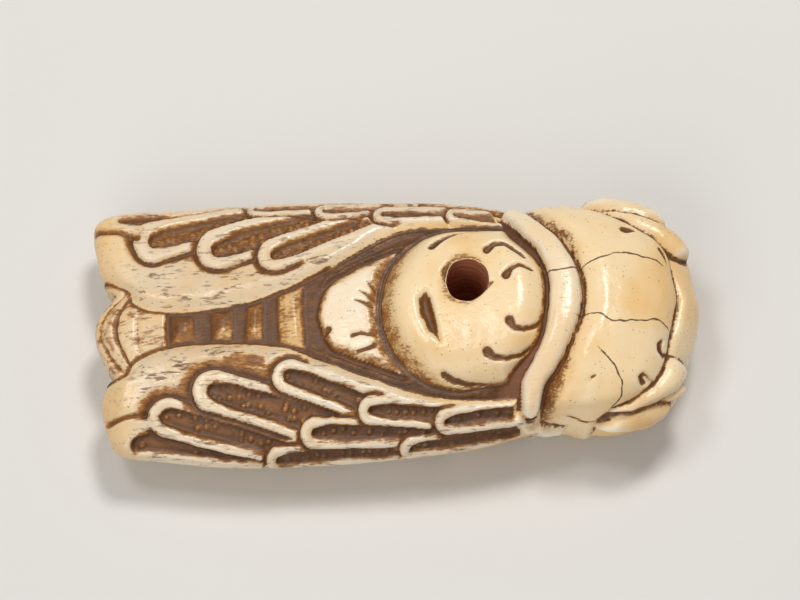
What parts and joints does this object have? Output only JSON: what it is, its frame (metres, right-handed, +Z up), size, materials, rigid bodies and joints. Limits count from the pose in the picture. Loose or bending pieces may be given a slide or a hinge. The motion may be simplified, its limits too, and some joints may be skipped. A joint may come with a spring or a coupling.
{
  "type": "cicada netsuke",
  "caption": "Belt toggle carved in one piece as a cicada with folded, veined wings, stained in its cuts and drilled through the back for a cord.",
  "frame": {"origin": "middle of the carving's length and width, on the surface it lies on", "axes": "+X to the cicada's head, +Y to the wing that is farther from the viewer in the picture, +Z up out of its back"},
  "size_m": [0.06, 0.0278, 0.0144],
  "materials": {
    "stained_antler": "polished cream antler or bone, stained brown in every groove, pit and wing cell, with fine pores and hair cracks"
  },
  "bodies": {
    "root": {"cicada": "stained_antler"}
  },
  "joints": []
}
